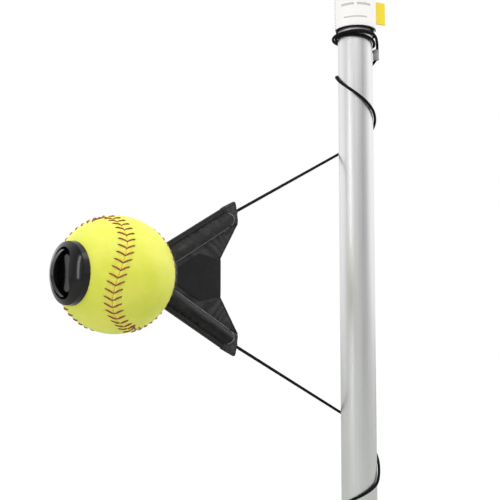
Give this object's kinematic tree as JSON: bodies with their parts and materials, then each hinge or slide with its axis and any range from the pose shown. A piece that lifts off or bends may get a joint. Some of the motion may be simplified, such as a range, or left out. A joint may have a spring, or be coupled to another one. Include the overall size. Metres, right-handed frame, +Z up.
{
  "type": "tethered ball batting trainer",
  "caption": "Yellow softball on a black fabric wing, held by two cords wound round a round metal pole, so a batter can hit it and it winds back.",
  "frame": {"origin": "centre of the pole's open foot", "axes": "+Z up the pole's axis; the ball stands out along -X; the wing's front faces -Y"},
  "size_m": [0.3902, 0.097, 0.76],
  "materials": {
    "pole": "brushed, satin",
    "core": "moulded cork composition",
    "cover": "optic yellow leather, fine grain",
    "gloss_black": "glossy black moulding",
    "matt_black": "satin black moulding",
    "bearing": "natural white sleeve",
    "steel": "zinc plated",
    "brass": "turned",
    "webbing": "woven nylon webbing",
    "panel": "woven black nylon",
    "patch": "smooth coated fabric",
    "stiffener": "extruded plastic tube",
    "cord": "braided black cord",
    "ferrule": "crimped",
    "strap": "black hook-and-loop webbing",
    "label": "white woven label, blank",
    "tab": "yellow pull tab"
  },
  "bodies": {
    "pole": {"pole_tube": "pole"},
    "upper_strap": {"upper_strap": "strap"},
    "lower_strap": {"lower_strap": "strap"},
    "upper_tail": {"upper_strap_tail": "strap", "upper_label": "label", "upper_pull_tab": "tab"},
    "lower_tail": {"lower_strap_tail": "strap", "lower_label": "label", "lower_pull_tab": "tab"},
    "tether": {"upper_cord": "cord", "upper_cord_noose": "cord", "upper_ferrule": "ferrule", "lower_cord": "cord", "lower_cord_noose": "cord", "lower_ferrule": "ferrule"},
    "wing": {"end_cap": "gloss_black", "cap_insert": "brass", "through_bolt": "steel", "spindle_sleeve": "bearing", "rear_saddle": "matt_black", "saddle_pin": "steel", "anchor_webbing": "webbing", "front_panel": "panel", "back_panel": "panel", "centre_patch": "patch", "upper_hem": "panel", "upper_sleeve": "panel", "upper_stiffener": "stiffener", "upper_stopper_knot": "cord", "upper_tip_patch": "panel", "lower_hem": "panel", "lower_sleeve": "panel", "lower_stiffener": "stiffener", "lower_stopper_knot": "cord", "lower_tip_patch": "panel"},
    "ball": {"ball_core": "core", "ball_cover_a": "cover", "ball_cover_b": "cover"}
  },
  "joints": [
    {"name": "height_slide", "type": "slide", "parent": "pole", "child": "upper_strap", "axis": [0, 0, 1], "range_m": [-0.07, 0.04]},
    {"name": "lower_height_slide", "type": "slide", "parent": "pole", "child": "lower_strap", "axis": [0, 0, 1], "range_m": [-0.07, 0.04]},
    {"name": "swing", "type": "hinge", "parent": "upper_strap", "child": "tether", "pos_m": [0, 0, 0.4], "axis": [0, 0, 1], "continuous": true},
    {"name": "wing_swivel", "type": "hinge", "parent": "tether", "child": "wing", "pos_m": [-0.1634, 0.0209, 0.4], "axis": [0, 0, 1], "range_deg": [-75, 75]},
    {"name": "ball_spin", "type": "hinge", "parent": "wing", "child": "ball", "pos_m": [-0.3044, 0.0209, 0.4], "axis": [1, 0, 0], "continuous": true},
    {"name": "upper_peel", "type": "hinge", "parent": "upper_strap", "child": "upper_tail", "pos_m": [-0.01814, 0.0127, 0.695], "axis": [0, 0, -1], "range_deg": [0, 60]},
    {"name": "lower_peel", "type": "hinge", "parent": "lower_strap", "child": "lower_tail", "pos_m": [-0.01814, 0.0127, 0.095], "axis": [0, 0, -1], "range_deg": [0, 60]}
  ],
  "couplings": [
    {"joint": "lower_height_slide", "follows": "height_slide", "ratio": 1}
  ]
}
